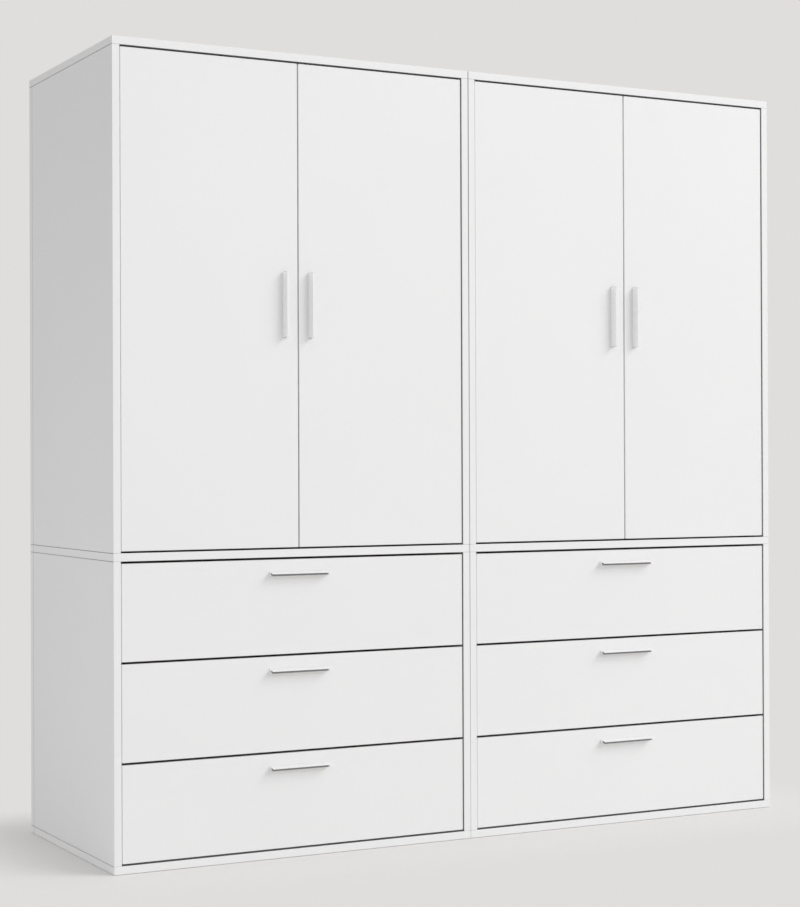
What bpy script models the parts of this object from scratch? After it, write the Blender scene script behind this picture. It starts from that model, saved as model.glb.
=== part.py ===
"""Freestanding wardrobe: two matching columns, each a two-door cupboard over a bank of drawers.

Metres, +Z up, front towards -Y. The origin is on the floor under the middle of the overall box.
"""

import math

import bmesh
import bpy
from mathutils import Matrix, Vector

# Overall sizes
COLUMN_WIDTH = 0.900
TOTAL_HEIGHT = 1.840
CARCASS_DEPTH = 0.590

# Boards
BOARD = 0.018
BACK_BOARD = 0.022
FRONT_BOARD = 0.018
EDGE_EASE = 0.0008

# Fronts and the gaps round them
DRAWERS_PER_COLUMN = 3
DRAWER_FRONT_HEIGHT = 0.2163
FRONT_RECESS = 0.0025
FRONT_GAP = 0.004
DRAWER_GAP = 0.005
SIDE_GAP = 0.002
MEETING_GAP = 0.003

# Clearance between pieces that touch
SEAT = 0.0003

# Angle-profile handles: a base on the front and a sloping lip
HANDLE_LENGTH = 0.150
HANDLE_REACH = 0.018
HANDLE_BASE_HEIGHT = 0.010
HANDLE_BASE_THICKNESS = 0.0025
HANDLE_LIP_THICKNESS = 0.005
HANDLE_LIP_SLOPE = math.radians(13)
HANDLE_EDGE_EASE = 0.0005
DOOR_HANDLE_INSET = 0.031
DOOR_HANDLE_ROOT_OFFSET = 0.0075
DRAWER_HANDLE_BELOW_TOP = 0.028

# Concealed hinges
HINGE_AXIS_INSET = 0.012
HINGE_AXIS_SETBACK = 0.005
HINGE_END_DISTANCE = 0.100
HINGE_CUP_DIAMETER = 0.035
HINGE_CUP_DEPTH = 0.0115
HINGE_CUP_EDGE = 0.005
HINGE_ARM_WIDTH = 0.013
HINGE_ARM_RISE = 0.0125
HINGE_NOSE_WIDTH = 0.012
HINGE_TONGUE_THICKNESS = 0.0065
HINGE_PLATE_SETBACK = 0.046
HINGE_PLATE_LENGTH = 0.052
HINGE_PLATE_WIDTH = 0.016
HINGE_PLATE_THICKNESS = 0.0035
HINGE_WING_WIDTH = 0.016
HINGE_WING_SPAN = 0.052
HINGE_SCREW_SPACING = 0.032
HINGE_SCREW_DIAMETER = 0.007
HINGE_SCREW_HEAD = 0.0012

# Drawer boxes and their side runners
DRAWER_BOX_HEIGHT = 0.150
DRAWER_BOX_RISE = 0.020
DRAWER_WALL = 0.012
DRAWER_BOTTOM = 0.006
DRAWER_BOTTOM_RISE = 0.010
DRAWER_BACK_CLEARANCE = 0.030
RUNNER_SPACE = 0.0127
RUNNER_HEIGHT = 0.045
RUNNER_SHEET = 0.0015
RUNNER_LIP = 0.007
RUNNER_RISE = 0.060
RUNNER_SETBACK = 0.004
RUNNER_END_CLEARANCE = 0.020
RUNNER_TO_DRAWER_GAP = 0.0007

# Clothes rails
RAIL_HEIGHT = 0.030
RAIL_WIDTH = 0.015
RAIL_WALL = 0.0015
RAIL_BELOW_TOP = 0.060
RAIL_FLANGE_MARGIN = 0.010
RAIL_FLANGE_THICKNESS = 0.004

# Facets of round shapes
BORE_FACETS = 28
SCREW_FACETS = 12
RAIL_ARC_FACETS = 8

# How far shapes run into each other before they are joined
OVERLAP = 0.0005

# Levels and planes that follow from the sizes above
FRONT_Y = (HANDLE_REACH - FRONT_RECESS - CARCASS_DEPTH) / 2
FACE_Y = FRONT_Y + FRONT_RECESS
BACK_Y = FRONT_Y + CARCASS_DEPTH
LOWER_OPENING = DRAWERS_PER_COLUMN * (DRAWER_FRONT_HEIGHT + DRAWER_GAP) + FRONT_GAP
MID_BOTTOM = BOARD + LOWER_OPENING
MID_TOP = MID_BOTTOM + BOARD
TOP_BOTTOM = TOTAL_HEIGHT - BOARD
SIDE_BACK_Y = BACK_Y - BACK_BOARD - SEAT
DOOR_LEVELS = (MID_TOP + FRONT_GAP, TOP_BOTTOM - FRONT_GAP)
OPENING_HALF = COLUMN_WIDTH / 2 - BOARD
COLUMN_CENTRES = {"left": -(COLUMN_WIDTH + SEAT) / 2, "right": (COLUMN_WIDTH + SEAT) / 2}
DRAWER_BOX_Y = (FACE_Y + FRONT_BOARD + SEAT, SIDE_BACK_Y - DRAWER_BACK_CLEARANCE)
RUNNER_Y = (FACE_Y + FRONT_BOARD + RUNNER_SETBACK, DRAWER_BOX_Y[1] - RUNNER_END_CLEARANCE)

# Colour, roughness and metallic value of each finish
FINISHES = {
    "white_board": ((0.83, 0.83, 0.83), 0.45, 0.0),
    "white_front": ((0.86, 0.86, 0.86), 0.38, 0.0),
    "drawer_board": ((0.78, 0.78, 0.77), 0.55, 0.0),
    "satin_aluminium": ((0.80, 0.80, 0.81), 0.30, 1.0),
    "nickel_plate": ((0.66, 0.65, 0.62), 0.28, 1.0),
    "polished_rail": ((0.74, 0.74, 0.75), 0.18, 1.0),
}


def clear_scene():
    for old in list(bpy.data.objects):
        bpy.data.objects.remove(old, do_unlink=True)


def make_finish(name):
    colour, roughness, metallic = FINISHES[name]
    finish = bpy.data.materials.new(name)
    finish.use_nodes = True
    shader = finish.node_tree.nodes["Principled BSDF"]
    shader.inputs["Base Color"].default_value = (*colour, 1.0)
    shader.inputs["Roughness"].default_value = roughness
    shader.inputs["Metallic"].default_value = metallic
    return finish


def to_mesh(shape, name):
    bmesh.ops.recalc_face_normals(shape, faces=shape.faces)
    mesh = bpy.data.meshes.new(name)
    shape.to_mesh(mesh)
    shape.free()
    return mesh


def slab(x, y, z, ease=EDGE_EASE):
    """A board between two planes on each axis, with its edges eased."""
    shape = bmesh.new()
    bmesh.ops.create_cube(shape, size=1.0)
    spans = (sorted(x), sorted(y), sorted(z))
    bmesh.ops.scale(shape, vec=[high - low for low, high in spans], verts=shape.verts)
    bmesh.ops.translate(shape, vec=[(low + high) / 2 for low, high in spans], verts=shape.verts)
    if ease:
        bmesh.ops.bevel(shape, geom=shape.edges[:], offset=ease, segments=1, affect="EDGES")
    return shape


def prism(outline, run):
    """A closed outline of 3-D points, drawn along a vector."""
    shape = bmesh.new()
    face = shape.faces.new([shape.verts.new(point) for point in outline])
    grown = bmesh.ops.extrude_face_region(shape, geom=[face])["geom"]
    far_verts = [item for item in grown if isinstance(item, bmesh.types.BMVert)]
    bmesh.ops.translate(shape, vec=run, verts=far_verts)
    bmesh.ops.recalc_face_normals(shape, faces=shape.faces)
    return shape


def rods(centres, axis, radius, length, facets):
    """Round bars of one size, each centred on its point, along the X or Y axis."""
    shape = bmesh.new()
    turn = {"X": Matrix.Rotation(math.pi / 2, 4, "Y"), "Y": Matrix.Rotation(math.pi / 2, 4, "X")}[axis]
    for centre in centres:
        bmesh.ops.create_cone(
            shape, cap_ends=True, segments=facets, radius1=radius, radius2=radius, depth=length,
            matrix=Matrix.Translation(centre) @ turn,
        )
    return shape


def combined(name, base, join=(), cut=()):
    """One mesh from a base shape, the shapes that are joined to it and those cut from it."""
    body = bpy.data.objects.new(name, to_mesh(base, name))
    bpy.context.collection.objects.link(body)
    tools = []
    for operation, shapes in (("UNION", join), ("DIFFERENCE", cut)):
        for shape in shapes:
            tool = bpy.data.objects.new(name + "_tool", to_mesh(shape, name + "_tool"))
            tool.hide_render = True
            tool.display_type = "WIRE"
            bpy.context.collection.objects.link(tool)
            step = body.modifiers.new(operation.lower(), "BOOLEAN")
            step.operation = operation
            step.solver = "EXACT"
            step.object = tool
            tools.append(tool)
    depsgraph = bpy.context.evaluated_depsgraph_get()
    mesh = bpy.data.meshes.new_from_object(body.evaluated_get(depsgraph))
    mesh.name = name
    for used in (body, *tools):
        bpy.data.objects.remove(used, do_unlink=True)
    return mesh


def add_node(name, mesh, finish, carrier=None, place=(0.0, 0.0, 0.0), turn=(0.0, 0.0, 0.0)):
    """Adds a piece at its place in the wardrobe, carried by an empty on its joint if it moves."""
    if isinstance(mesh, bmesh.types.BMesh):
        mesh = to_mesh(mesh, name)
    mesh.materials.clear()
    mesh.materials.append(finish)
    mesh.shade_smooth()
    mesh.set_sharp_from_angle(angle=math.radians(30))
    piece = bpy.data.objects.new(name, mesh)
    piece.location = place
    piece.rotation_euler = turn
    if carrier:
        piece.parent = carrier
        piece.location = Vector(place) - carrier.location
    bpy.context.collection.objects.link(piece)
    return piece


def add_carrier(name, place):
    """An empty on a joint's axis, which carries the pieces that move together."""
    carrier = bpy.data.objects.new(name, None)
    carrier.location = place
    bpy.context.collection.objects.link(carrier)
    return carrier


def handle_shape():
    """Angle profile drawn along X: its base stands on y = 0, its lip slopes out and down from the top."""
    outward = Vector((0.0, -math.cos(HANDLE_LIP_SLOPE), -math.sin(HANDLE_LIP_SLOPE)))
    inward_down = Vector((0.0, math.sin(HANDLE_LIP_SLOPE), -math.cos(HANDLE_LIP_SLOPE)))
    top = Vector((0.0, 0.0, 0.0))
    tip_top = top + outward * (HANDLE_REACH - SEAT) / math.cos(HANDLE_LIP_SLOPE)
    tip_low = tip_top + inward_down * HANDLE_LIP_THICKNESS
    to_base = (tip_low.y + HANDLE_BASE_THICKNESS) / outward.y
    root = tip_low - outward * to_base
    base_front = Vector((0.0, -HANDLE_BASE_THICKNESS, -HANDLE_BASE_HEIGHT))
    base_back = Vector((0.0, 0.0, -HANDLE_BASE_HEIGHT))
    start = Vector((-HANDLE_LENGTH / 2, 0.0, 0.0))
    outline = [start + point for point in (top, tip_top, tip_low, root, base_front, base_back)]
    shape = prism(outline, (HANDLE_LENGTH, 0.0, 0.0))
    eased = [edge for edge in shape.edges if any(vert.co.y < -SEAT for vert in edge.verts)]
    bmesh.ops.bevel(shape, geom=eased, offset=HANDLE_EDGE_EASE, segments=2, profile=0.5, affect="EDGES")
    return shape


def hinge_mesh(name, inward):
    """Mounting plate and cranked arm whose tongue seats in the door's cup bore.

    Measured from the side board's inner face and the door's face, at hinge height.
    """
    plate_rear = HINGE_PLATE_SETBACK + HINGE_PLATE_LENGTH
    cup_centre = SIDE_GAP + HINGE_CUP_EDGE + HINGE_CUP_DIAMETER / 2
    nose_y = FRONT_BOARD + SEAT
    nose_inner = cup_centre - SEAT
    nose_outer = nose_inner + HINGE_NOSE_WIDTH
    tongue_y = FRONT_BOARD - HINGE_CUP_DEPTH + SEAT
    tongue_inner = nose_outer - HINGE_TONGUE_THICKNESS
    root = HINGE_PLATE_THICKNESS - OVERLAP
    arm_rear = plate_rear - HINGE_PLATE_THICKNESS
    crank_y = HINGE_PLATE_SETBACK + HINGE_PLATE_WIDTH
    side_view = (
        (root, arm_rear),
        (HINGE_ARM_RISE, arm_rear),
        (HINGE_ARM_RISE + HINGE_PLATE_THICKNESS, crank_y),
        (nose_outer, nose_y + HINGE_ARM_WIDTH),
        (nose_outer, tongue_y),
        (tongue_inner, tongue_y),
        (tongue_inner, nose_y),
        (nose_inner, nose_y),
        (nose_inner, nose_y + HINGE_ARM_WIDTH / 2),
        (root, HINGE_PLATE_SETBACK + HINGE_PLATE_THICKNESS),
    )
    arm = prism([(inward * x, y, -HINGE_ARM_WIDTH / 2) for x, y in side_view], (0.0, 0.0, HINGE_ARM_WIDTH))
    bmesh.ops.bevel(arm, geom=arm.edges[:], offset=EDGE_EASE, segments=1, affect="EDGES")

    plate_x = (inward * SEAT, inward * HINGE_PLATE_THICKNESS)
    plate_y = (HINGE_PLATE_SETBACK, plate_rear)
    plate = slab(plate_x, plate_y, (-HINGE_PLATE_WIDTH / 2, HINGE_PLATE_WIDTH / 2))
    wing_x = (inward * SEAT, inward * (HINGE_PLATE_THICKNESS - OVERLAP))
    wing_front = HINGE_PLATE_SETBACK + HINGE_PLATE_THICKNESS
    wing_y = (wing_front, wing_front + HINGE_WING_WIDTH)
    wing = slab(wing_x, wing_y, (-HINGE_WING_SPAN / 2, HINGE_WING_SPAN / 2))

    wing_middle = sum(wing_y) / 2
    head_length = HINGE_SCREW_HEAD + OVERLAP
    head_x = inward * (HINGE_PLATE_THICKNESS - 2 * OVERLAP + head_length / 2)
    plate_screws = [(head_x, wing_middle, side * HINGE_SCREW_SPACING / 2) for side in (-1, 1)]
    screw_length = HINGE_ARM_RISE
    screw_x = inward * (HINGE_ARM_RISE + HINGE_PLATE_THICKNESS + HINGE_SCREW_HEAD - screw_length / 2)
    arm_screws = [(screw_x, arm_rear - step * 2 * HINGE_SCREW_DIAMETER, 0.0) for step in (0.5, 1.5)]
    radius = HINGE_SCREW_DIAMETER / 2
    joined = (
        plate,
        wing,
        rods(plate_screws, "X", radius, head_length, SCREW_FACETS),
        rods(arm_screws, "X", radius, screw_length, SCREW_FACETS),
    )
    return combined(name, arm, join=joined)


def add_carcass(column, centre, finishes):
    """Through-running horizontal boards, with sides and backs standing between them."""
    full_x = (centre - COLUMN_WIDTH / 2, centre + COLUMN_WIDTH / 2)
    full_y = (FRONT_Y, BACK_Y)
    board = finishes["white_board"]
    levels = {"bottom": (0.0, BOARD), "mid": (MID_BOTTOM, MID_TOP), "top": (TOP_BOTTOM, TOTAL_HEIGHT)}
    for place, z in levels.items():
        add_node(f"{column}_{place}_board", slab(full_x, full_y, z), board)

    storeys = {"lower": (BOARD + SEAT, MID_BOTTOM - SEAT), "upper": (MID_TOP + SEAT, TOP_BOTTOM - SEAT)}
    for storey, z in storeys.items():
        back_y = (BACK_Y - BACK_BOARD, BACK_Y)
        add_node(f"{column}_{storey}_back", slab(full_x, back_y, z), board)
        for hand, outward in (("left", -1), ("right", 1)):
            side_x = (centre + outward * COLUMN_WIDTH / 2, centre + outward * OPENING_HALF)
            side = slab(side_x, (FRONT_Y, SIDE_BACK_Y), z)
            name = f"{column}_{storey}_{hand}_side"
            if storey == "lower":
                side = combined(name, side, join=[runner_channels(side_x[1], -outward)])
            add_node(name, side, board)


def drawer_level(number):
    """Lowest edge of a drawer front, counted from the top drawer."""
    from_bottom = DRAWERS_PER_COLUMN - number
    return BOARD + FRONT_GAP + from_bottom * (DRAWER_FRONT_HEIGHT + DRAWER_GAP)


def runner_level(number):
    return drawer_level(number) + DRAWER_BOX_RISE + RUNNER_RISE


def runner_channels(face_x, inward):
    """Lipped steel channels, one for each drawer, standing on the inner face of a side board."""
    depth = RUNNER_SPACE - RUNNER_TO_DRAWER_GAP
    half = RUNNER_HEIGHT / 2
    upper_half = (
        (-OVERLAP, half),
        (depth, half),
        (depth, half - RUNNER_SHEET - RUNNER_LIP),
        (depth - RUNNER_SHEET, half - RUNNER_SHEET - RUNNER_LIP),
        (depth - RUNNER_SHEET, half - RUNNER_SHEET),
        (RUNNER_SHEET, half - RUNNER_SHEET),
    )
    section = upper_half + tuple((x, -z) for x, z in reversed(upper_half))
    channels = bmesh.new()
    for number in range(1, DRAWERS_PER_COLUMN + 1):
        outline = [(face_x + inward * x, RUNNER_Y[0], runner_level(number) + z) for x, z in section]
        channel = to_mesh(prism(outline, (0.0, RUNNER_Y[1] - RUNNER_Y[0], 0.0)), "channel")
        channels.from_mesh(channel)
        bpy.data.meshes.remove(channel)
    return channels


def runner_rails(centre, level):
    """The drawer's own rails, each a head held behind the channel's lips on a neck to the drawer side."""
    depth = RUNNER_SPACE - RUNNER_TO_DRAWER_GAP
    head_half = RUNNER_HEIGHT / 2 - RUNNER_SHEET - SEAT
    neck_half = head_half - RUNNER_LIP
    head_near = depth - RUNNER_SHEET - SEAT
    upper_half = (
        (RUNNER_SHEET + SEAT, head_half),
        (head_near, head_half),
        (head_near, neck_half),
        (RUNNER_SPACE + OVERLAP, neck_half),
    )
    section = upper_half + tuple((x, -z) for x, z in reversed(upper_half))
    rails = []
    for outward in (-1, 1):
        face_x = centre + outward * OPENING_HALF
        outline = [(face_x - outward * x, RUNNER_Y[0], level + z) for x, z in section]
        rails.append(prism(outline, (0.0, RUNNER_Y[1] - RUNNER_Y[0], 0.0)))
    return rails


def drawer_box_mesh(name, centre, number):
    """Open tray with its bottom set up inside the walls, and a rail on each side."""
    half_width = OPENING_HALF - RUNNER_SPACE
    low = drawer_level(number) + DRAWER_BOX_RISE
    tray = slab((centre - half_width, centre + half_width), DRAWER_BOX_Y, (low, low + DRAWER_BOX_HEIGHT), ease=0)
    tray.faces.ensure_lookup_table()
    by_height = sorted(tray.faces, key=lambda face: face.calc_center_median().z)
    inside_depth = DRAWER_BOX_HEIGHT - DRAWER_BOTTOM_RISE - DRAWER_BOTTOM
    for face, shift in ((by_height[-1], -inside_depth), (by_height[0], DRAWER_BOTTOM_RISE)):
        bmesh.ops.inset_region(tray, faces=[face], thickness=DRAWER_WALL)
        sunk = bmesh.ops.extrude_discrete_faces(tray, faces=[face])["faces"][0]
        bmesh.ops.translate(tray, vec=(0.0, 0.0, shift), verts=sunk.verts)
    return combined(name, tray, join=runner_rails(centre, runner_level(number)))


def add_drawers(column, centre, finishes):
    front_x = (centre - OPENING_HALF + SIDE_GAP, centre + OPENING_HALF - SIDE_GAP)
    front_y = (FACE_Y, FACE_Y + FRONT_BOARD)
    for number in range(1, DRAWERS_PER_COLUMN + 1):
        low = drawer_level(number)
        high = low + DRAWER_FRONT_HEIGHT
        carrier = add_carrier(f"{column}_drawer_{number}_slide", (centre, FACE_Y, low))
        front = slab(front_x, front_y, (low, high))
        add_node(f"{column}_drawer_{number}_front", front, finishes["white_front"], carrier)
        box_name = f"{column}_drawer_{number}_box"
        box = drawer_box_mesh(box_name, centre, number)
        add_node(box_name, box, finishes["drawer_board"], carrier)
        handle_place = (centre, FACE_Y - SEAT, high - DRAWER_HANDLE_BELOW_TOP)
        handle = handle_shape()
        add_node(f"{column}_drawer_{number}_handle", handle, finishes["satin_aluminium"], carrier, handle_place)


def hinge_levels():
    low, high = DOOR_LEVELS
    return {
        "lower": low + HINGE_END_DISTANCE,
        "middle": (low + high) / 2,
        "upper": high - HINGE_END_DISTANCE,
    }


def add_doors(column, centre, finishes):
    """Two inset doors, each with cup bores, its hinges on the side board and an upright handle."""
    door_y = (FACE_Y, FACE_Y + FRONT_BOARD)
    for hand, outward in (("left", -1), ("right", 1)):
        door = f"{column}_{hand}_door"
        hinge_face = centre + outward * OPENING_HALF
        hinge_edge = hinge_face - outward * SIDE_GAP
        meeting_edge = centre + outward * MEETING_GAP / 2
        axis_place = (hinge_face - outward * HINGE_AXIS_INSET, FACE_Y + HINGE_AXIS_SETBACK, DOOR_LEVELS[0])
        carrier = add_carrier(f"{door}_axis", axis_place)

        cup_x = hinge_edge - outward * (HINGE_CUP_EDGE + HINGE_CUP_DIAMETER / 2)
        cup_y = door_y[1] + OVERLAP - (HINGE_CUP_DEPTH + OVERLAP) / 2
        cups = [(cup_x, cup_y, level) for level in hinge_levels().values()]
        bores = rods(cups, "Y", HINGE_CUP_DIAMETER / 2, HINGE_CUP_DEPTH + OVERLAP, BORE_FACETS)
        panel = combined(door, slab((hinge_edge, meeting_edge), door_y, DOOR_LEVELS), cut=[bores])
        add_node(door, panel, finishes["white_front"], carrier)

        lip_root = meeting_edge + outward * DOOR_HANDLE_INSET - DOOR_HANDLE_ROOT_OFFSET
        handle_place = (lip_root, FACE_Y - SEAT, sum(DOOR_LEVELS) / 2)
        handle = handle_shape()
        upright = (0.0, -math.pi / 2, 0.0)
        add_node(f"{door}_handle", handle, finishes["satin_aluminium"], carrier, handle_place, upright)

        hinge = hinge_mesh(f"{door}_hinge", -outward)
        for level_name, level in hinge_levels().items():
            place = (hinge_face, FACE_Y, level)
            add_node(f"{door}_{level_name}_hinge", hinge, finishes["nickel_plate"], place=place)


def stadium(width, height, x, y, z):
    """Upright slot outline in the plane of constant x, round at both ends."""
    radius = width / 2
    straight = height / 2 - radius
    points = []
    for end, start_angle in ((1, 0.0), (-1, math.pi)):
        for step in range(RAIL_ARC_FACETS + 1):
            angle = start_angle + math.pi * step / RAIL_ARC_FACETS
            points.append((x, y + radius * math.cos(angle), z + end * straight + radius * math.sin(angle)))
    return points


def add_clothes_rail(column, centre, finishes):
    """Oval tube across the cupboard, with a flange at each end against the side boards."""
    name = f"{column}_clothes_rail"
    middle = ((FACE_Y + FRONT_BOARD + SIDE_BACK_Y) / 2, TOP_BOTTOM - RAIL_BELOW_TOP)
    half = OPENING_HALF - SEAT
    tube = prism(stadium(RAIL_WIDTH, RAIL_HEIGHT, centre - half, *middle), (2 * half, 0.0, 0.0))
    flange_size = (RAIL_WIDTH + 2 * RAIL_FLANGE_MARGIN, RAIL_HEIGHT + 2 * RAIL_FLANGE_MARGIN)
    flanges = []
    for start in (centre - half, centre + half - RAIL_FLANGE_THICKNESS):
        flanges.append(prism(stadium(*flange_size, start, *middle), (RAIL_FLANGE_THICKNESS, 0.0, 0.0)))
    bore_size = (RAIL_WIDTH - 2 * RAIL_WALL, RAIL_HEIGHT - 2 * RAIL_WALL)
    bore_start = centre - half - RAIL_FLANGE_THICKNESS
    bore = prism(stadium(*bore_size, bore_start, *middle), (2 * half + 2 * RAIL_FLANGE_THICKNESS, 0.0, 0.0))
    add_node(name, combined(name, tube, join=flanges, cut=[bore]), finishes["polished_rail"])


def main():
    clear_scene()
    finishes = {name: make_finish(name) for name in FINISHES}
    for column, centre in COLUMN_CENTRES.items():
        add_carcass(column, centre, finishes)
        add_drawers(column, centre, finishes)
        add_doors(column, centre, finishes)
        add_clothes_rail(column, centre, finishes)


main()
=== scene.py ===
"""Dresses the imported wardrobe: a finish for every piece, its small fittings, and a plain studio."""

import math

import bmesh
import bpy
from bpy.props import FloatProperty, FloatVectorProperty, PointerProperty
from mathutils import Matrix, Vector


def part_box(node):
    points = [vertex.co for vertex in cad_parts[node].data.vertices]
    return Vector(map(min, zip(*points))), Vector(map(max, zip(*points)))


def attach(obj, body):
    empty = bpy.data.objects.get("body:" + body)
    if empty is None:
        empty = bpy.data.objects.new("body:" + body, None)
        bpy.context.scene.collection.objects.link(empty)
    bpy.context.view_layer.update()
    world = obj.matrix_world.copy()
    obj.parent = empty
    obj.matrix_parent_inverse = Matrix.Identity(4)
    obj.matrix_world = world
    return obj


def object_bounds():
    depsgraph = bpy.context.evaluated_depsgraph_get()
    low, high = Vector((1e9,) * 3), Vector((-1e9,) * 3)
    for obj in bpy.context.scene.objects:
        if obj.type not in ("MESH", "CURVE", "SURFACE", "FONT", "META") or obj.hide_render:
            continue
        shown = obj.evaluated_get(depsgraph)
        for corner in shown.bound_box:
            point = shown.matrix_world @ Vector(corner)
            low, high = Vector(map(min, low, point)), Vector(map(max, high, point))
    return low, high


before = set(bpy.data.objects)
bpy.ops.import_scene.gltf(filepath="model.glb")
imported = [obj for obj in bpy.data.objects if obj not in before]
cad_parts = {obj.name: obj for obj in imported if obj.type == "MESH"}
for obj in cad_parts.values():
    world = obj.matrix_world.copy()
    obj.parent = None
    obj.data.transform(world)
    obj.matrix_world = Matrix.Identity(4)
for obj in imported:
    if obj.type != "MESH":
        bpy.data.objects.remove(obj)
CAD_BOX = [list(corner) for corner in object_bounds()]

bl_info = {
    "name": "Wardrobe dressing",
    "version": (1, 0, 0),
    "blender": (4, 5, 0),
    "location": "View3D > Sidebar > Wardrobe",
    "description": "Finishes, fittings and a studio for a two-column wardrobe",
    "category": "Object",
}

COLUMNS = ("left", "right")
HANDS = ("left", "right")
STOREYS = ("lower", "upper")
DRAWERS = (1, 2, 3)
HINGE_PLACES = ("lower", "middle", "upper")
CARCASS = "carcass"

# Planes and levels that the fittings are set out from
COLUMN_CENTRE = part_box("right_top_board")[0].lerp(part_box("right_top_board")[1], 0.5).x
OPENING_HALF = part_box("right_upper_right_side")[0].x - COLUMN_CENTRE
SIDE_FRONT_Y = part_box("left_upper_left_side")[0].y
SIDE_BACK_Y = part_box("left_upper_left_side")[1].y
DOOR_BACK_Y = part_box("left_left_door")[1].y
BACK_FRONT_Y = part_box("left_upper_back")[0].y
FACE_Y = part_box("left_left_door")[0].y
END_X = CAD_BOX[1][0]
REAR_Y = CAD_BOX[1][1]
JOINT_LEVELS = (
    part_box("left_bottom_board")[1].z,
    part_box("left_mid_board")[0].z,
    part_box("left_mid_board")[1].z,
    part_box("left_top_board")[0].z,
)

# How far a fitting is let into the board that carries it
LET_IN = 0.0001

# Half the width of the painted shade line along a joint between boards
JOINT_LINE = 0.0008

# Half the width of the painted shade line in the gap between the two columns
COLUMN_LINE = 0.0011

# Half the height of the painted shade across the gap between two drawer fronts, with the edges that face it
FRONT_GAP_HALF = 0.0029

# How far the painted shade in the gaps round the fronts reaches before and behind their faces
SURROUND_LEAD = 0.0014
SURROUND_DEPTH = 0.008

# Strength of the painted shade on the ends of the wardrobe: along a joint, at the foot, and its rise in a
# metre
JOINT_SHADE = 0.77
END_SHADE = 0.07
END_SHADE_RISE = 0.05

# Strength of the painted shade in the line between the columns: at the foot, and its rise in a metre
COLUMN_SHADE = 0.12
COLUMN_SHADE_RISE = 0.62

# Share of its colour that a finish keeps under its mask: painted shade on the boards and fronts, a darker
# band at the foot of each drawer box
BOARD_SHADE = 0.35
FRONT_SHADE = 0.6
DRAWER_FOOT_SHARE = 0.93

# Roughness of the white finishes, and how strongly they mirror
BOARD_ROUGHNESS = 0.62
FRONT_ROUGHNESS = 0.5
DRAWER_ROUGHNESS = 0.55
WHITE_SPECULAR = 0.2

# Scales of the noise in the finishes, and how deep their bump is
MOTTLING_SCALE = 2.6
PEBBLE_SCALE = 620.0
PEBBLE_DEPTH = 0.0003
CLOUD_SCALE = 12.0
GRAIN_DEPTH = 0.0001
RUNNER_GRAIN = (900.0, 12.0, 900.0)

# A face looks along an axis when this much of its normal points that way
LOOKS_ALONG = 0.5

# Two points closer than this are at the same height
SAME_HEIGHT = 1e-6

# Edges that turn by less than this are shaded smooth
SMOOTH_ANGLE = math.radians(35)

# How far the floor lies below the wardrobe
FLOOR_DROP = 0.0006


class StageSettings(bpy.types.PropertyGroup):
    """The studio and the camera."""

    backdrop: FloatVectorProperty(
        name="Backdrop", description="Colour of the surroundings and of the far floor",
        subtype="COLOR", size=3, min=0.0, max=1.0, default=(0.745, 0.730, 0.715))
    floor: FloatVectorProperty(
        name="Floor", description="Colour of the floor close to the wardrobe",
        subtype="COLOR", size=3, min=0.0, max=1.0, default=(0.757, 0.745, 0.733))
    floor_size: FloatProperty(
        name="Floor size", description="Width of the floor", default=60.0, min=10.0, unit="LENGTH")
    ambient: FloatVectorProperty(
        name="Ambient", description="Colour of the light that comes from all round",
        subtype="COLOR", size=3, min=0.0, max=1.0, default=(0.730, 0.729, 0.735))
    shadow_reach: FloatProperty(
        name="Shadow reach", description="Distance over which the floor's shading fades into the backdrop",
        default=0.35, min=0.05, unit="LENGTH")
    key_place: FloatVectorProperty(
        name="Key lamp", description="Where the large soft lamp hangs",
        subtype="XYZ", unit="LENGTH", size=3, default=(11.1, -16.2, 9.3))
    key_power: FloatProperty(
        name="Key power", description="Power of the key lamp", default=600.0, unit="POWER")
    key_size: FloatProperty(
        name="Key size", description="Width of the key lamp", default=4.5, unit="LENGTH")
    side_place: FloatVectorProperty(
        name="Side lamp", description="Where the higher lamp on the right hangs",
        subtype="XYZ", unit="LENGTH", size=3, default=(12.3, -8.1, 11.4))
    side_power: FloatProperty(
        name="Side power", description="Power of the side lamp", default=1120.0, unit="POWER")
    side_size: FloatProperty(
        name="Side size", description="Width of the side lamp", default=8.0, unit="LENGTH")
    low_place: FloatVectorProperty(
        name="Low lamp", description="Where the weak lamp low on the left stands",
        subtype="XYZ", unit="LENGTH", size=3, default=(-2.2, -0.15, 0.6))
    low_power: FloatProperty(
        name="Low power", description="Power of the low lamp", default=1.2, unit="POWER")
    low_size: FloatProperty(
        name="Low size", description="Width of the low lamp", default=0.5, unit="LENGTH")
    eye: FloatVectorProperty(
        name="Camera place", description="Where the camera stands",
        subtype="XYZ", unit="LENGTH", size=3, default=(-2.40715, -4.46055, 0.9007))
    heading: FloatProperty(
        name="Heading", description="Turn of the camera to the right of straight ahead",
        default=math.radians(27.995), unit="ROTATION")
    tilt: FloatProperty(
        name="Tilt", description="Upward tilt of the camera", default=math.radians(0.2621), unit="ROTATION")
    roll: FloatProperty(
        name="Roll", description="Roll of the camera", default=math.radians(-0.2154), unit="ROTATION")
    lens: FloatProperty(
        name="Lens", description="Focal length", default=79.661, min=10.0, unit="CAMERA")


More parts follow.
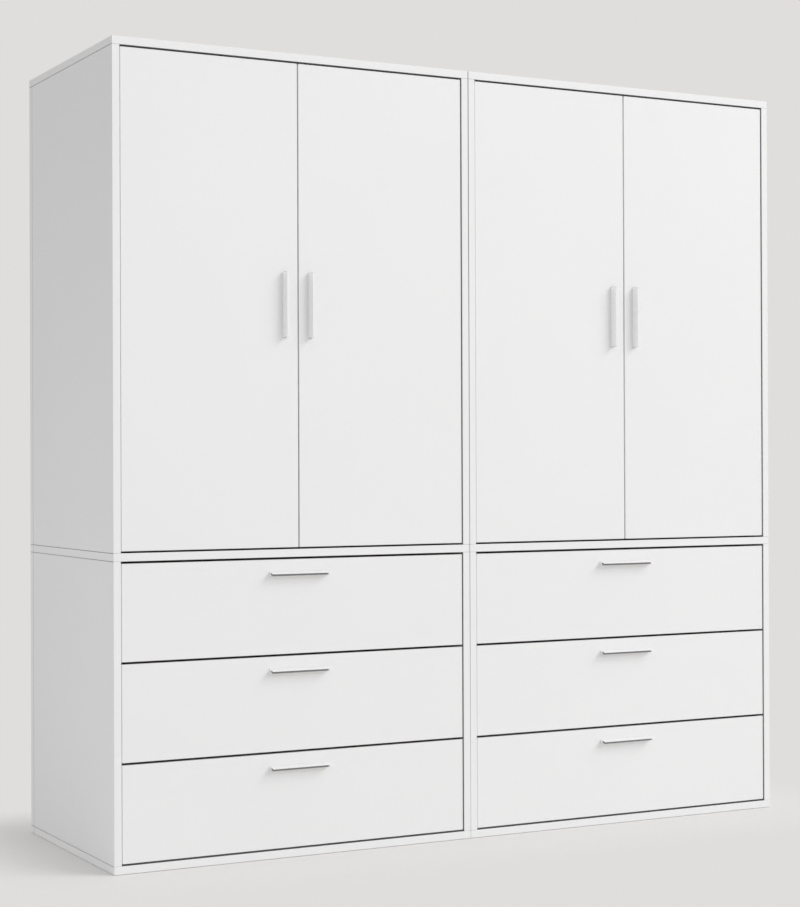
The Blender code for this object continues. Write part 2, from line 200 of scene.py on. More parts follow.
class FinishSettings(bpy.types.PropertyGroup):
    """Colours of the finishes."""

    board: FloatVectorProperty(
        name="Boards", description="White satin facing of the carcass boards",
        subtype="COLOR", size=3, min=0.0, max=1.0, default=(0.840, 0.840, 0.840))
    front: FloatVectorProperty(
        name="Fronts", description="White satin lacquer of the doors and drawer fronts",
        subtype="COLOR", size=3, min=0.0, max=1.0, default=(0.840, 0.840, 0.840))
    drawer: FloatVectorProperty(
        name="Drawer boxes", description="Off-white foil of the drawer boxes",
        subtype="COLOR", size=3, min=0.0, max=1.0, default=(0.780, 0.780, 0.770))
    aluminium: FloatVectorProperty(
        name="Handles", description="Satin anodised aluminium of the handles",
        subtype="COLOR", size=3, min=0.0, max=1.0, default=(0.950, 0.950, 0.953))
    # Painted shade: the dark colour laid on the fronts of the drawer handles' lips, on the handles' ends
    # and in part on their lit faces
    handle_shade: FloatVectorProperty(
        name="Handle shade", description="Shaded metal on the fronts of the lips and on the handles' ends",
        subtype="COLOR", size=3, min=0.0, max=1.0, default=(0.200, 0.200, 0.202))
    nickel: FloatVectorProperty(
        name="Hinges", description="Satin nickel plate of the hinges and screws",
        subtype="COLOR", size=3, min=0.0, max=1.0, default=(0.660, 0.650, 0.620))
    zinc: FloatVectorProperty(
        name="Runners", description="Zinc-plated steel of the runners and cam fittings",
        subtype="COLOR", size=3, min=0.0, max=1.0, default=(0.600, 0.610, 0.620))
    chrome: FloatVectorProperty(
        name="Clothes rails", description="Chrome plate of the clothes rails",
        subtype="COLOR", size=3, min=0.0, max=1.0, default=(0.740, 0.740, 0.750))


class FittingSettings(bpy.types.PropertyGroup):
    """Sizes of the small fittings."""

    runner_space: FloatProperty(
        name="Runner space", description="Room for a runner beside a drawer box",
        default=0.0127, min=0.001, unit="LENGTH")
    cup_inset: FloatProperty(
        name="Cup inset", description="From a side board to the middle of a hinge cup",
        default=0.0245, min=0.01, unit="LENGTH")
    cup_radius: FloatProperty(
        name="Cup radius", description="Outside radius of a hinge cup",
        default=0.01735, min=0.005, unit="LENGTH")
    cup_depth: FloatProperty(
        name="Cup depth", description="Depth of a hinge cup",
        default=0.0114, min=0.003, unit="LENGTH")
    flange_thickness: FloatProperty(
        name="Flange thickness", description="Thickness of a hinge cup's flange",
        default=0.0012, min=0.0003, unit="LENGTH")
    screw_radius: FloatProperty(
        name="Screw radius", description="Radius of a pan-head screw's head",
        default=0.0042, min=0.001, unit="LENGTH")
    screw_height: FloatProperty(
        name="Screw height", description="Height of a pan-head screw's head",
        default=0.0022, min=0.0005, unit="LENGTH")
    cam_radius: FloatProperty(
        name="Cam radius", description="Radius of a cam fitting's face",
        default=0.0075, min=0.002, unit="LENGTH")
    cam_end_distance: FloatProperty(
        name="Cam distance", description="From the end of a side board to a cam fitting",
        default=0.034, min=0.01, unit="LENGTH")
    bolt_radius: FloatProperty(
        name="Bolt radius", description="Radius of a column bolt's flat head",
        default=0.008, min=0.002, unit="LENGTH")
    handle_screw_spacing: FloatProperty(
        name="Handle screws", description="Distance between a handle's two screws",
        default=0.096, min=0.03, unit="LENGTH")


class Wire:
    """A node's output that can stand in a Python sum."""

    def __init__(self, bench, socket):
        self.bench = bench
        self.socket = socket

    def sum(self, operation, first, second=0.0):
        return self.bench.node("ShaderNodeMath", {"operation": operation}, {0: first, 1: second})

    def __add__(self, other):
        return self.sum("ADD", self, other)

    def __sub__(self, other):
        return self.sum("SUBTRACT", self, other)

    def __rsub__(self, other):
        return self.sum("SUBTRACT", other, self)

    def __mul__(self, other):
        return self.sum("MULTIPLY", self, other)

    def __mod__(self, other):
        return self.sum("FLOORED_MODULO", self, other)

    def __pow__(self, other):
        return self.sum("POWER", self, other)

    def __lt__(self, other):
        return self.sum("LESS_THAN", self, other)

    def __gt__(self, other):
        return self.sum("GREATER_THAN", self, other)

    def __abs__(self):
        return self.sum("ABSOLUTE", self)

    def at_least(self, other):
        return self.sum("MAXIMUM", self, other)

    def at_most(self, other):
        return self.sum("MINIMUM", self, other)

    __radd__ = __add__


class Bench:
    """Makes the nodes of one material or world."""

    def __init__(self, owner):
        owner.use_nodes = True
        self.owner = owner
        self.tree = owner.node_tree

    def node(self, kind, settings=None, sockets=None, output=0):
        made = self.tree.nodes.new(kind)
        for name, value in (settings or {}).items():
            setattr(made, name, value)
        for name, value in (sockets or {}).items():
            self.plug(value, made.inputs[name])
        return Wire(self, made.outputs[output])

    def plug(self, value, socket):
        if isinstance(value, Wire):
            self.tree.links.new(value.socket, socket)
        else:
            socket.default_value = value

    def shader(self, **values):
        principled = self.tree.nodes["Principled BSDF"]
        for name, value in values.items():
            self.plug(value, principled.inputs[name.replace("_", " ")])

    def place(self):
        return self.node("ShaderNodeTexCoord", output="Object")

    def normal(self):
        return self.node("ShaderNodeTexCoord", output="Normal")

    def noise(self, place, scale, detail=2.0):
        return self.node("ShaderNodeTexNoise", sockets={"Vector": place, "Scale": scale, "Detail": detail})

    def stretched(self, place, scale):
        return self.node("ShaderNodeMapping", sockets={"Vector": place, "Scale": scale})

    def axes(self, vector):
        return [self.node("ShaderNodeSeparateXYZ", sockets={0: vector}, output=axis) for axis in "XYZ"]

    def blend(self, amount, first, second):
        return self.node("ShaderNodeMix", {"data_type": "RGBA"}, {0: amount, 6: first, 7: second}, output=2)

    def bump(self, height, strength, distance):
        sockets = {"Height": height, "Strength": strength, "Distance": distance}
        return self.node("ShaderNodeBump", sockets=sockets)


def tone(colour, share=1.0):
    return (*(min(channel * share, 1.0) for channel in colour), 1.0)


def new_bench(name):
    return Bench(bpy.data.materials.new(name))


def white_finish(name, colour, roughness, shaded, share, steel=None, metal_mask=None):
    """Satin white with faint mottling and a fine pebble, darker under a mask, and steel on a runner; on the
    boards and fronts the mask is painted shade.
    """
    bench = new_bench(name)
    place = bench.place()
    mottling = bench.noise(place, MOTTLING_SCALE, 3.0)
    pebble = bench.noise(place, PEBBLE_SCALE)
    base = bench.blend(mottling * 0.7 + pebble * 0.3, tone(colour, 0.975), tone(colour, 1.02))
    rough = roughness + (pebble - 0.5) * 0.10 + (mottling - 0.5) * 0.08
    base = bench.blend(shaded(bench, place), base, tone(colour, share))
    if metal_mask:
        metal = metal_mask(bench, place)
        streaks = bench.noise(bench.stretched(place, RUNNER_GRAIN), 1.0)
        plated = bench.blend(streaks, tone(steel, 0.88), tone(steel, 1.08))
        base = bench.blend(metal, base, plated)
        rough = rough * (1 - metal) + (0.26 + streaks * 0.16) * metal
        bench.shader(Metallic=metal)
    normal = bench.bump(pebble, 0.06, PEBBLE_DEPTH)
    bench.shader(Base_Color=base, Roughness=rough, Specular_IOR_Level=WHITE_SPECULAR, Normal=normal)
    return bench.owner


def metal_finish(name, colour, roughness, grain, shade=None, shade_mask=None, metallic=1.0):
    """Metal whose fine lines run along the axis with the small grain scale, with painted shade under its
    mask.
    """
    bench = new_bench(name)
    place = bench.place()
    lines = bench.noise(bench.stretched(place, grain), 1.0, 3.0)
    cloud = bench.noise(place, CLOUD_SCALE)
    base = bench.blend(lines * 0.8 + cloud * 0.2, tone(colour, 0.97), tone(colour, 1.03))
    rough = roughness + (lines - 0.5) * 0.05 + (cloud - 0.5) * 0.02
    if shade:
        base = bench.blend(shade_mask(bench, place).at_least(0.0).at_most(1.0), base, tone(shade))
    normal = bench.bump(lines, 0.04, GRAIN_DEPTH)
    bench.shader(Base_Color=base, Roughness=rough, Metallic=metallic, Normal=normal)
    return bench.owner


def from_column_centre(bench, place):
    """Distance of a point from the upright middle plane of its own column."""
    across = bench.axes(place)[0]
    return abs(abs(across) - COLUMN_CENTRE)


def near_a_joint(bench, place):
    """Paints shade along the joints between boards and columns and beside the fronts, and faintly over the
    whole ends, more towards the top.
    """
    across, deep, up = bench.axes(place)
    lines = (abs(deep - BACK_FRONT_Y) < JOINT_LINE) + (deep > REAR_Y - JOINT_LINE)
    for level in JOINT_LEVELS:
        lines = lines + (abs(up - level) < JOINT_LINE)
    on_end = abs(across) > END_X - JOINT_LINE
    ends = (lines * JOINT_SHADE).at_least(END_SHADE + up * END_SHADE_RISE) * on_end
    middle = (abs(across) < COLUMN_LINE) * (COLUMN_SHADE + up * COLUMN_SHADE_RISE)
    return (ends + middle + in_a_surround(bench, place)).at_most(1.0)


def in_a_surround(bench, place):
    """Paints shade on the strips of the boards and right-hand sides that face the edges of the fronts, to
    darken the gaps.
    """
    _, deep, up = bench.axes(place)
    right, back, _ = bench.axes(bench.normal())
    inner = (abs(back) < LOOKS_ALONG) * (right < LOOKS_ALONG)
    between = from_column_centre(bench, place) < OPENING_HALF + JOINT_LINE
    below = up < JOINT_LEVELS[-1] + JOINT_LINE
    return inner * (between * below) * (deep > FACE_Y - SURROUND_LEAD) * (deep < FACE_Y + SURROUND_DEPTH)


def in_a_front_gap(bench, place):
    """Paints shade on the level edges of the fronts that face one another or the boards, to darken the
    gaps.
    """
    _, deep, up = bench.axes(place)
    behind = deep > FACE_Y + JOINT_LINE
    low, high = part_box("left_left_door")
    gaps = (abs(up - low.z) < JOINT_LINE) + (abs(up - high.z) < JOINT_LINE)
    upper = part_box("left_mid_board")[0].z
    for number in DRAWERS:
        low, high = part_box(f"left_drawer_{number}_front")
        gaps = gaps + (abs(up - (upper + high.z) / 2) < FRONT_GAP_HALF)
        upper = low.z
    return gaps * behind


def shared(name, make, *values):
    """A finish that several operators use, made when it is first asked for."""
    return bpy.data.materials.get(name) or make(name, *values)


def nickel():
    colour = bpy.context.scene.wardrobe_finishes.nickel
    return shared("satin_nickel", metal_finish, colour, 0.32, (160.0,) * 3)


def zinc():
    colour = bpy.context.scene.wardrobe_finishes.zinc
    return shared("zinc_plate", metal_finish, colour, 0.36, (220.0,) * 3)


def dress(node_names, finish):
    for name in node_names:
        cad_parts[name].material_slots[0].material = finish


def begin(name, add, **size):
    """Adds a primitive, alone in the selection and with its place in its mesh."""
    bpy.ops.object.select_all(action="DESELECT")
    add(**size)
    bpy.ops.object.transform_apply(location=True, rotation=True, scale=True)
    piece = bpy.context.object
    piece.name = name
    piece.data.name = name
    return piece


def pick(piece, kind, test):
    """Selects the faces or edges of the piece in edit mode that pass a test."""
    bpy.ops.mesh.select_mode(type=kind)
    bpy.ops.mesh.select_all(action="DESELECT")
    shape = bmesh.from_edit_mesh(piece.data)
    for part in shape.faces if kind == "FACE" else shape.edges:
        if test(part):
            part.select_set(True)
    bmesh.update_edit_mesh(piece.data)


def edge_at(height):
    return lambda edge: all(abs(vert.co.z - height) < SAME_HEIGHT for vert in edge.verts)


def combine(piece, tool, operation):
    """Joins a tool to a piece, or cuts it out, and removes the tool."""
    step = piece.modifiers.new(operation, "BOOLEAN")
    step.operation = operation
    step.solver = "EXACT"
    step.object = tool
    bpy.ops.object.select_all(action="DESELECT")
    bpy.context.view_layer.objects.active = piece
    bpy.ops.object.modifier_apply(modifier=step.name)
    bpy.data.objects.remove(tool, do_unlink=True)


def round_head(name, radius, height, facets, ease, recess):
    """A fastener's head on the plane z = 0, with an eased rim and a cross recess."""
    depth = height + LET_IN
    head = begin(
        name, bpy.ops.mesh.primitive_cylinder_add, vertices=facets, radius=radius, depth=depth,
        location=(0.0, 0.0, height - depth / 2))
    bpy.ops.object.mode_set(mode="EDIT")
    pick(head, "EDGE", edge_at(height))
    bpy.ops.mesh.bevel(offset=ease, segments=3, profile=0.6, affect="EDGES")
    bpy.ops.object.mode_set(mode="OBJECT")

    slot = radius * 0.22
    arm = radius * 0.5
    cross = begin(
        name + "_cross", bpy.ops.mesh.primitive_cube_add, size=1.0, location=(0.0, 0.0, height),
        scale=(slot, slot, 2 * recess))
    bpy.ops.object.mode_set(mode="EDIT")
    for axis in (0, 1):
        for way in (-1, 1):
            def arm_root(face):
                centre = face.calc_center_median()
                return slot > centre[axis] * way > slot * 0.4 > abs(centre[1 - axis])

            pick(cross, "FACE", arm_root)
            run = [0.0, 0.0, 0.0]
            run[axis] = way * arm
            bpy.ops.mesh.extrude_region_move(TRANSFORM_OT_translate={"value": run})
    bpy.ops.object.mode_set(mode="OBJECT")
    combine(head, cross, "DIFFERENCE")
    finish_shading(head)
    return head


def finish_shading(piece):
    bpy.ops.object.select_all(action="DESELECT")
    piece.select_set(True)
    bpy.context.view_layer.objects.active = piece
    bpy.ops.object.shade_smooth_by_angle(angle=SMOOTH_ANGLE)


def set_out(model, name, places, finish, body):
    """One piece made of a copy of the model at each place, riding on a body."""
    parts = []
    for place in places:
        part = model.copy()
        part.data = model.data.copy()
        part.data.transform(place)
        bpy.context.scene.collection.objects.link(part)
        parts.append(part)
    bpy.ops.object.select_all(action="DESELECT")
    for part in parts:
        part.select_set(True)
    bpy.context.view_layer.objects.active = parts[0]
    if len(parts) > 1:
        bpy.ops.object.join()
    piece = bpy.context.object
    piece.name = name
    piece.data.name = name
    piece.data.materials.clear()
    piece.data.materials.append(finish)
    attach(piece, body)


def facing(point, normal, along=(0.0, 0.0, 1.0)):
    """Turns a model's Z axis to a face's normal, its Y axis along a direction, and moves it to a point."""
    out = Vector(normal)
    up = Vector(along)
    turn = Matrix((up.cross(out), up, out)).transposed()
    return Matrix.Translation(point) @ turn.to_4x4()


def discard(model):
    bpy.data.objects.remove(model, do_unlink=True)


def doors():
    return [(column, hand) for column in COLUMNS for hand in HANDS]


def inner_face(column, hand):
    """The inner face of a side board: its place across the wardrobe, and the way it looks."""
    centre = COLUMN_CENTRE if column == "right" else -COLUMN_CENTRE
    outward = 1 if hand == "right" else -1
    return centre + outward * OPENING_HALF, -outward


class WARDROBE_OT_boards(bpy.types.Operator):
    """Gives the carcass boards their satin white facing with painted shade at the joints, gaps and ends,
    and zinc plate where a runner is fixed
    """

    bl_idname = "wardrobe.boards"
    bl_label = "Carcass Boards"

    def execute(self, context):
        finishes = context.scene.wardrobe_finishes
        plain = white_finish("white_board", finishes.board, BOARD_ROUGHNESS, near_a_joint, BOARD_SHADE)
        names = [f"{column}_{place}_board" for column in COLUMNS for place in ("bottom", "mid", "top")]
        names += [f"{column}_{storey}_back" for column in COLUMNS for storey in STOREYS]
        names += [f"{column}_upper_{hand}_side" for column, hand in doors()]
        dress(names, plain)

        def on_runner(bench, place):
            return from_column_centre(bench, place) < OPENING_HALF - LET_IN

        with_runners = white_finish(
            "white_board_with_runners", finishes.board, BOARD_ROUGHNESS, near_a_joint, BOARD_SHADE,
            finishes.zinc, on_runner)
        dress([f"{column}_lower_{hand}_side" for column, hand in doors()], with_runners)
        return {"FINISHED"}


class WARDROBE_OT_fronts(bpy.types.Operator):
    """Gives the doors and the drawer fronts their satin white lacquer, with painted shade on the edges that
    face the gaps
    """

    bl_idname = "wardrobe.fronts"
    bl_label = "Doors and Drawer Fronts"

    def execute(self, context):
        colour = context.scene.wardrobe_finishes.front
        finish = white_finish("white_front", colour, FRONT_ROUGHNESS, in_a_front_gap, FRONT_SHADE)
        dress([f"{column}_{hand}_door" for column, hand in doors()], finish)
        dress([f"{column}_drawer_{number}_front" for column in COLUMNS for number in DRAWERS], finish)
        return {"FINISHED"}


class WARDROBE_OT_drawer_boxes(bpy.types.Operator):
    """Gives the drawer boxes their off-white foil, a darker bottom, and zinc-plated rails"""

    bl_idname = "wardrobe.drawer_boxes"
    bl_label = "Drawer Boxes"

    def execute(self, context):
        finishes = context.scene.wardrobe_finishes
        box_half = OPENING_HALF - context.scene.wardrobe_fittings.runner_space
        floors = [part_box(f"right_drawer_{number}_box")[0].z for number in (DRAWERS[-1], DRAWERS[-2])]
        pitch = floors[1] - floors[0]
        bottom_top = 0.0165

        def on_rail(bench, place):
            return from_column_centre(bench, place) > box_half + LET_IN

        def on_bottom(bench, place):
            return (bench.axes(place)[2] - floors[0]) % pitch < bottom_top

        finish = white_finish(
            "drawer_foil", finishes.drawer, DRAWER_ROUGHNESS, on_bottom, DRAWER_FOOT_SHARE,
            finishes.zinc, on_rail)
        dress([f"{column}_drawer_{number}_box" for column in COLUMNS for number in DRAWERS], finish)
        return {"FINISHED"}


class WARDROBE_OT_handles(bpy.types.Operator):
    """Gives the handles brushed aluminium whose lines run along their length, with painted shade on the
    lips' fronts, the ends and the lit faces
    """

    bl_idname = "wardrobe.handles"
    bl_label = "Handles"

    def execute(self, context):
        finishes = context.scene.wardrobe_finishes
        along_x = (5.0, 700.0, 700.0)
        along_z = (700.0, 700.0, 5.0)
        colour, shade = finishes.aluminium, finishes.handle_shade

        low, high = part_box("right_drawer_1_handle")
        half = (high.x - low.x) / 2
        lit_end, fade, tip = 0.006, 0.018, 0.010
        metal_share = 0.35

        # How far a face looks forward, down or endways where its painted shade begins, and how fast that
        # grows
        forward, forward_gain = 0.75, 8.0
        down, down_gain = 0.05, 10.0
        end_on, end_gain = 0.6, 4.0
        # Painted shade on the lit faces: the tops of the lips, the right-hand faces and the upper ends of
        # the door handles
        top_shade, right_shade = 0.10, 0.30
        upper_end_gain, upper_end_shade = 3.0, 0.75

        # Painted shade on the drawer handles: the downward fronts of the lips, fading out near the lit
        # right-hand end, the left ends near the tip, and a little on the lit tops
        def lip(bench, place):
            across, deep, up = bench.axes(bench.normal())
            width = 2 * COLUMN_CENTRE
            along = (bench.axes(place)[0] + width) % width - COLUMN_CENTRE
            unlit = ((half - lit_end - along) * (1 / fade)).at_least(0.0).at_most(1.0)
            nose = ((0 - deep - forward) * forward_gain).at_least(0.0)
            front = nose * ((0 - up - down) * down_gain) * unlit
            end = ((0 - across - end_on) * end_gain) * (bench.axes(place)[1] < low.y + tip)
            return front.at_least(end).at_least(up * top_shade)

        # Painted shade on the door handles: the lower ends, the upper ends and the lit right-hand faces
        def ends(bench, place):
            across, _, up = bench.axes(bench.normal())
            lower = (0 - up - end_on) * end_gain
            upper = (up * upper_end_gain).at_most(upper_end_shade)
            return lower.at_least(upper).at_least(across * right_shade)

        level = metal_finish("aluminium_level", colour, 0.28, along_x, shade, lip, metal_share)
        upright = metal_finish("aluminium_upright", colour, 0.24, along_z, shade, ends, metal_share)
        dress([f"{column}_drawer_{number}_handle" for column in COLUMNS for number in DRAWERS], level)
        dress([f"{column}_{hand}_door_handle" for column, hand in doors()], upright)
        return {"FINISHED"}


class WARDROBE_OT_hinges(bpy.types.Operator):
    """Gives the hinge arms and plates satin nickel"""

    bl_idname = "wardrobe.hinges"
    bl_label = "Hinges"

    def execute(self, context):
        doors_with_hinges = [f"{column}_{hand}_door" for column, hand in doors()]
        dress([f"{door}_{place}_hinge" for door in doors_with_hinges for place in HINGE_PLACES], nickel())
        return {"FINISHED"}


class WARDROBE_OT_hinge_cups(bpy.types.Operator):
    """Sets a pressed cup with a screwed flange into each hinge bore of the doors"""

    bl_idname = "wardrobe.hinge_cups"
    bl_label = "Hinge Cups"

    def cup(self, sizes):
        wall, floor, rim_width = 0.0006, 0.0003, 0.0022
        rim = sizes.cup_radius + rim_width
        mouth = sizes.cup_radius - wall
        top = sizes.flange_thickness
        cup = begin(
            "cup", bpy.ops.mesh.primitive_circle_add, vertices=40, radius=sizes.cup_radius,
            fill_type="NGON", location=(0.0, 0.0, -sizes.cup_depth))
        bpy.ops.object.mode_set(mode="EDIT")
        bpy.ops.mesh.select_mode(type="EDGE")
        bpy.ops.mesh.select_all(action="SELECT")
        profile = (
            (sizes.cup_radius, LET_IN), (rim, LET_IN), (rim, top - wall / 2), (rim - wall / 2, top),
            (mouth + wall / 2, top), (mouth, top - wall / 2), (mouth, floor - sizes.cup_depth),
        )
        radius = sizes.cup_radius
        height = -sizes.cup_depth
        for next_radius, next_height in profile:
            rise = (0.0, 0.0, next_height - height)
            bpy.ops.mesh.extrude_edges_move(TRANSFORM_OT_translate={"value": rise})
            scale = next_radius / radius
            bpy.ops.transform.resize(value=(scale, scale, 1.0), center_override=(0.0, 0.0, next_height))
            radius, height = next_radius, next_height
        bpy.ops.mesh.edge_face_add()
        bpy.ops.mesh.select_all(action="SELECT")
        bpy.ops.mesh.normals_make_consistent(inside=False)
        bpy.ops.object.mode_set(mode="OBJECT")
        return cup

    def ears(self, sizes, offset, reach):
        """A plate with round ends across the cup, its middle cut away."""
        width, clearance, drill_length = 0.013, 0.0009, 0.01
        ears = begin(
            "ears", bpy.ops.mesh.primitive_cube_add, size=1.0,
            location=(offset, 0.0, (sizes.flange_thickness + LET_IN) / 2),
            scale=(width, 2 * reach + width, sizes.flange_thickness - LET_IN))
        bpy.ops.object.mode_set(mode="EDIT")

        def upright(edge):
            first, second = edge.verts
            return abs(first.co.z - second.co.z) > sizes.flange_thickness / 2

        pick(ears, "EDGE", upright)
        bpy.ops.mesh.bevel(offset=width * 0.45, segments=6, affect="EDGES")
        bpy.ops.object.mode_set(mode="OBJECT")
        middle = begin(
            "ears_middle", bpy.ops.mesh.primitive_cylinder_add, vertices=40,
            radius=sizes.cup_radius + clearance, depth=drill_length)
        combine(ears, middle, "DIFFERENCE")
        return ears

    def execute(self, context):
        sizes = context.scene.wardrobe_fittings
        offset, reach = 0.0055, 0.0225
        cup = self.cup(sizes)
        combine(cup, self.ears(sizes, offset, reach), "UNION")
        finish_shading(cup)
        screw = round_head(
            "flange_screw", radius=0.0034, height=0.0012, facets=16, ease=0.0007, recess=0.0009)
        for column, hand in doors():
            face, inward = inner_face(column, hand)
            door = f"{column}_{hand}_door"
            for place in HINGE_PLACES:
                low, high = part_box(f"{door}_{place}_hinge")
                centre = Vector((face + inward * sizes.cup_inset, DOOR_BACK_Y, (low.z + high.z) / 2))
                name = f"{door}_{place}_cup"
                seat = facing(centre, (0, 1, 0), (0, 0, -inward))
                set_out(cup, name, [seat], nickel(), door)
                heads = []
                for way in (-1, 1):
                    shift = Vector((inward * offset, sizes.flange_thickness, way * reach))
                    heads.append(facing(centre + shift, (0, 1, 0)))
                set_out(screw, name + "_screws", heads, nickel(), door)
        discard(cup)
        discard(screw)
        return {"FINISHED"}


class WARDROBE_OT_clothes_rails(bpy.types.Operator):
    """Gives the clothes rails chrome plate and screws their flanges to the side boards"""

    bl_idname = "wardrobe.clothes_rails"
    bl_label = "Clothes Rails"

    def execute(self, context):
        colour = context.scene.wardrobe_finishes.chrome
        chrome = metal_finish("chrome_plate", colour, 0.16, (8.0, 700.0, 700.0))
        dress([f"{column}_clothes_rail" for column in COLUMNS], chrome)
        screw = round_head(
            "rail_screw", radius=0.0030, height=0.0011, facets=16, ease=0.0006, recess=0.0008)
        flange, from_end = 0.0043, 0.0052
        for column in COLUMNS:
            low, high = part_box(f"{column}_clothes_rail")
            middle = (low.y + high.y) / 2
            places = []
            for hand in HANDS:
                face, inward = inner_face(column, hand)
                for level in (low.z + from_end, high.z - from_end):
                    places.append(facing((face + inward * flange, middle, level), (inward, 0, 0)))
            set_out(screw, f"{column}_clothes_rail_screws", places, nickel(), CARCASS)
        discard(screw)
        return {"FINISHED"}


class WARDROBE_OT_front_screws(bpy.types.Operator):
    """Adds the screws that hold the handles to the doors and the fronts to the drawer boxes"""

    bl_idname = "wardrobe.front_screws"
    bl_label = "Front Screws"

    def execute(self, context):
        sizes = context.scene.wardrobe_fittings
        screw = round_head(
            "pan_screw", sizes.screw_radius, sizes.screw_height, facets=20, ease=0.0012, recess=0.0014)
        for column, hand in doors():
            low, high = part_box(f"{column}_{hand}_door_handle")
            middle = low.lerp(high, 0.5)
            places = []
            for way in (-1, 1):
                level = middle.z + way * sizes.handle_screw_spacing / 2
                places.append(facing((middle.x, DOOR_BACK_Y, level), (0, 1, 0)))
            name = f"{column}_{hand}_door_handle_screws"
            set_out(screw, name, places, nickel(), f"{column}_{hand}_door")

        wall, from_side, from_top, from_bottom = 0.012, 0.070, 0.035, 0.045
        for column in COLUMNS:
            for number in DRAWERS:
                low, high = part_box(f"{column}_drawer_{number}_box")
                places = []
                for across in (low.x + from_side, high.x - from_side):
                    for level in (low.z + from_bottom, high.z - from_top):
                        places.append(facing((across, low.y + wall, level), (0, 1, 0)))
                name = f"{column}_drawer_{number}_screws"
                set_out(screw, name, places, nickel(), f"{column}_drawer_{number}")
        discard(screw)
        return {"FINISHED"}


class WARDROBE_OT_cam_fittings(bpy.types.Operator):
    """Adds the cam fittings that draw the side boards up to the boards above and below them"""

    bl_idname = "wardrobe.cam_fittings"
    bl_label = "Cam Fittings"

    def execute(self, context):
        sizes = context.scene.wardrobe_fittings
        cam = round_head(
            "cam", sizes.cam_radius, height=0.0008, facets=28, ease=0.0003, recess=0.0006)
        from_front, from_back = 0.085, 0.060
        for column, hand in doors():
            face, inward = inner_face(column, hand)
            for storey in STOREYS:
                board = f"{column}_{storey}_{hand}_side"
                low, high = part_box(board)
                places = []
                for depth in (SIDE_FRONT_Y + from_front, SIDE_BACK_Y - from_back):
                    for level in (low.z + sizes.cam_end_distance, high.z - sizes.cam_end_distance):
                        places.append(facing((face, depth, level), (inward, 0, 0)))
                set_out(cam, f"{board}_cams", places, zinc(), CARCASS)
        discard(cam)
        return {"FINISHED"}


class WARDROBE_OT_column_bolts(bpy.types.Operator):
    """Adds the flat-headed bolts that draw the two columns together"""

    bl_idname = "wardrobe.column_bolts"
    bl_label = "Column Bolts"

    def execute(self, context):
        sizes = context.scene.wardrobe_fittings
        bolt = round_head(
            "bolt", sizes.bolt_radius, height=0.0014, facets=28, ease=0.0008, recess=0.0010)
        from_edge = 0.130
        shares = {"lower": (0.29, 0.625), "upper": (0.25, 0.72)}
        for column, hand in (("left", "right"), ("right", "left")):
            face, inward = inner_face(column, hand)
            for storey in STOREYS:
                board = f"{column}_{storey}_{hand}_side"
                low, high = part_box(board)
                places = []
                for depth in (SIDE_FRONT_Y + from_edge, SIDE_BACK_Y - from_edge):
                    for share in shares[storey]:
                        level = low.z + share * (high.z - low.z)
                        places.append(facing((face, depth, level), (inward, 0, 0)))
                set_out(bolt, f"{board}_bolts", places, nickel(), CARCASS)
        discard(bolt)
        return {"FINISHED"}


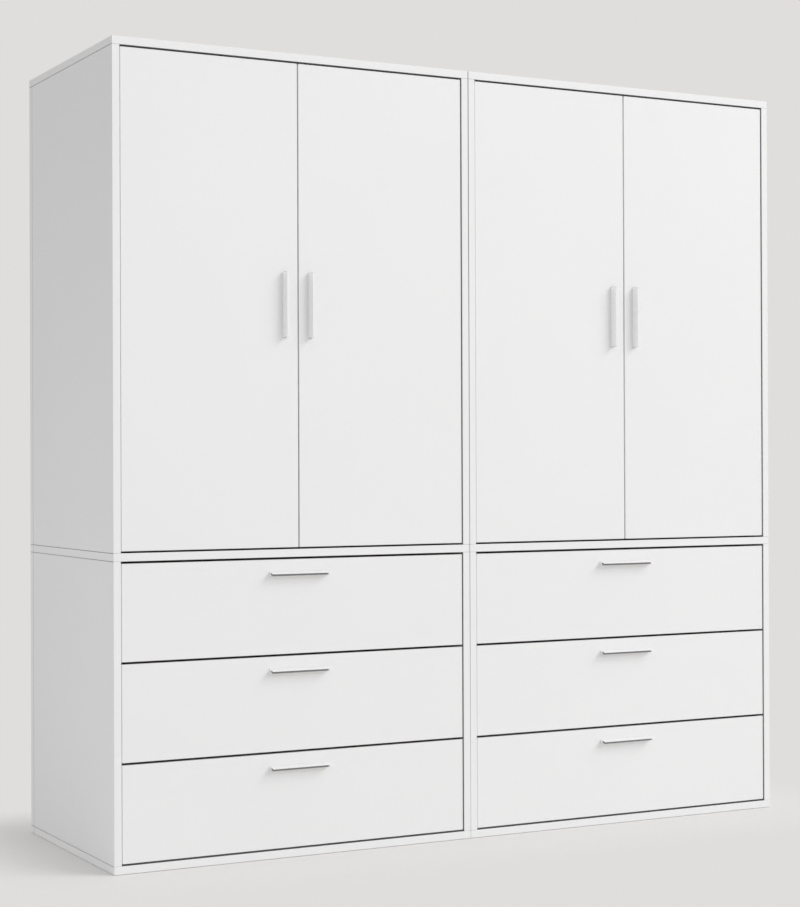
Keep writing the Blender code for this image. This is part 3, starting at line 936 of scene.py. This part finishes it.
class WARDROBE_OT_stage(bpy.types.Operator):
    """Adds the floor, the soft light and the camera"""

    bl_idname = "wardrobe.stage"
    bl_label = "Stage"

    def floor(self, stage):
        floor = begin(
            "studio_floor", bpy.ops.mesh.primitive_plane_add, size=stage.floor_size,
            location=(0.0, 0.0, -FLOOR_DROP))
        bpy.ops.object.mode_set(mode="EDIT")
        bpy.ops.mesh.select_all(action="SELECT")
        bpy.ops.mesh.subdivide(number_cuts=8)
        bpy.ops.object.mode_set(mode="OBJECT")

        bench = new_bench("studio_floor")
        across, deep, _ = bench.axes(bench.place())
        corner = CAD_BOX[1]
        past_side = (abs(across) - corner[0]).at_least(0.0)
        past_front = (abs(deep) - corner[1]).at_least(0.0)
        distance = (past_side * past_side + past_front * past_front) ** 0.5
        fade = bench.node(
            "ShaderNodeMapRange", {"interpolation_type": "SMOOTHSTEP"},
            {"Value": distance, "From Min": 0.0, "From Max": stage.shadow_reach})
        bench.shader(Base_Color=tone(stage.floor), Roughness=0.9)
        plain = bench.node("ShaderNodeEmission", sockets={"Color": tone(stage.backdrop), "Strength": 1.0})
        lit = Wire(bench, bench.tree.nodes["Principled BSDF"].outputs[0])
        mixed = bench.node("ShaderNodeMixShader", sockets={0: self.seen(bench) * fade, 1: lit, 2: plain})
        bench.plug(mixed, bench.tree.nodes["Material Output"].inputs["Surface"])
        floor.data.materials.append(bench.owner)

    def seen(self, bench):
        """1 for the rays that show the surroundings, 0 for those that only carry light."""
        rays = [bench.node("ShaderNodeLightPath", output=f"Is {kind} Ray")
                for kind in ("Camera", "Glossy", "Transmission")]
        return (rays[0] + rays[1] + rays[2]).at_most(1.0)

    def surroundings(self, stage, scene):
        scene.world = bpy.data.worlds.new("studio")
        bench = Bench(scene.world)
        colour = bench.blend(self.seen(bench), tone(stage.ambient), tone(stage.backdrop))
        bench.plug(colour, bench.tree.nodes["Background"].inputs["Color"])

    def lamp(self, scene, name, place, power, size, aim):
        light = bpy.data.lights.new(name, "AREA")
        light.energy = power
        light.size = size
        holder = bpy.data.objects.new(name, light)
        holder.location = place
        holder.rotation_euler = (Vector(aim) - holder.location).to_track_quat("-Z", "Y").to_euler()
        holder.visible_camera = False
        scene.collection.objects.link(holder)

    def lights(self, stage, scene):
        low, high = Vector(CAD_BOX[0]), Vector(CAD_BOX[1])
        middle = low.lerp(high, 0.5)
        left_end = (low.x, middle.y, stage.low_place[2])
        self.lamp(scene, "key_lamp", stage.key_place, stage.key_power, stage.key_size, middle)
        self.lamp(scene, "side_lamp", stage.side_place, stage.side_power, stage.side_size, middle)
        self.lamp(scene, "low_lamp", stage.low_place, stage.low_power, stage.low_size, left_end)

    def camera(self, stage, scene):
        lens = bpy.data.cameras.new("camera")
        lens.lens = stage.lens
        camera = bpy.data.objects.new("camera", lens)
        turn = Matrix.Rotation(-stage.heading, 4, "Z") @ Matrix.Rotation(math.pi / 2 + stage.tilt, 4, "X")
        camera.matrix_world = Matrix.Translation(stage.eye) @ turn @ Matrix.Rotation(stage.roll, 4, "Z")
        scene.collection.objects.link(camera)
        scene.camera = camera

    def execute(self, context):
        stage = context.scene.wardrobe_stage
        context.scene.view_settings.view_transform = "Standard"
        self.floor(stage)
        self.surroundings(stage, context.scene)
        self.lights(stage, context.scene)
        self.camera(stage, context.scene)
        return {"FINISHED"}


OPERATORS = (
    WARDROBE_OT_boards,
    WARDROBE_OT_fronts,
    WARDROBE_OT_drawer_boxes,
    WARDROBE_OT_handles,
    WARDROBE_OT_hinges,
    WARDROBE_OT_hinge_cups,
    WARDROBE_OT_clothes_rails,
    WARDROBE_OT_front_screws,
    WARDROBE_OT_cam_fittings,
    WARDROBE_OT_column_bolts,
    WARDROBE_OT_stage,
)


class WARDROBE_PT_dressing(bpy.types.Panel):
    """Lists the steps that dress the wardrobe"""

    bl_label = "Wardrobe"
    bl_idname = "WARDROBE_PT_dressing"
    bl_space_type = "VIEW_3D"
    bl_region_type = "UI"
    bl_category = "Wardrobe"

    def draw(self, context):
        for step in OPERATORS:
            self.layout.operator(step.bl_idname)


SETTINGS = {
    "wardrobe_stage": StageSettings,
    "wardrobe_finishes": FinishSettings,
    "wardrobe_fittings": FittingSettings,
}


def register():
    for group in SETTINGS.values():
        bpy.utils.register_class(group)
    for step in (*OPERATORS, WARDROBE_PT_dressing):
        bpy.utils.register_class(step)
    for name, group in SETTINGS.items():
        setattr(bpy.types.Scene, name, PointerProperty(type=group))


def unregister():
    for name in SETTINGS:
        delattr(bpy.types.Scene, name)
    for step in (WARDROBE_PT_dressing, *reversed(OPERATORS)):
        bpy.utils.unregister_class(step)
    for group in SETTINGS.values():
        bpy.utils.unregister_class(group)


def main():
    register()
    for step in OPERATORS:
        group, name = step.bl_idname.split(".")
        getattr(getattr(bpy.ops, group), name)()


if __name__ == "__main__":
    main()
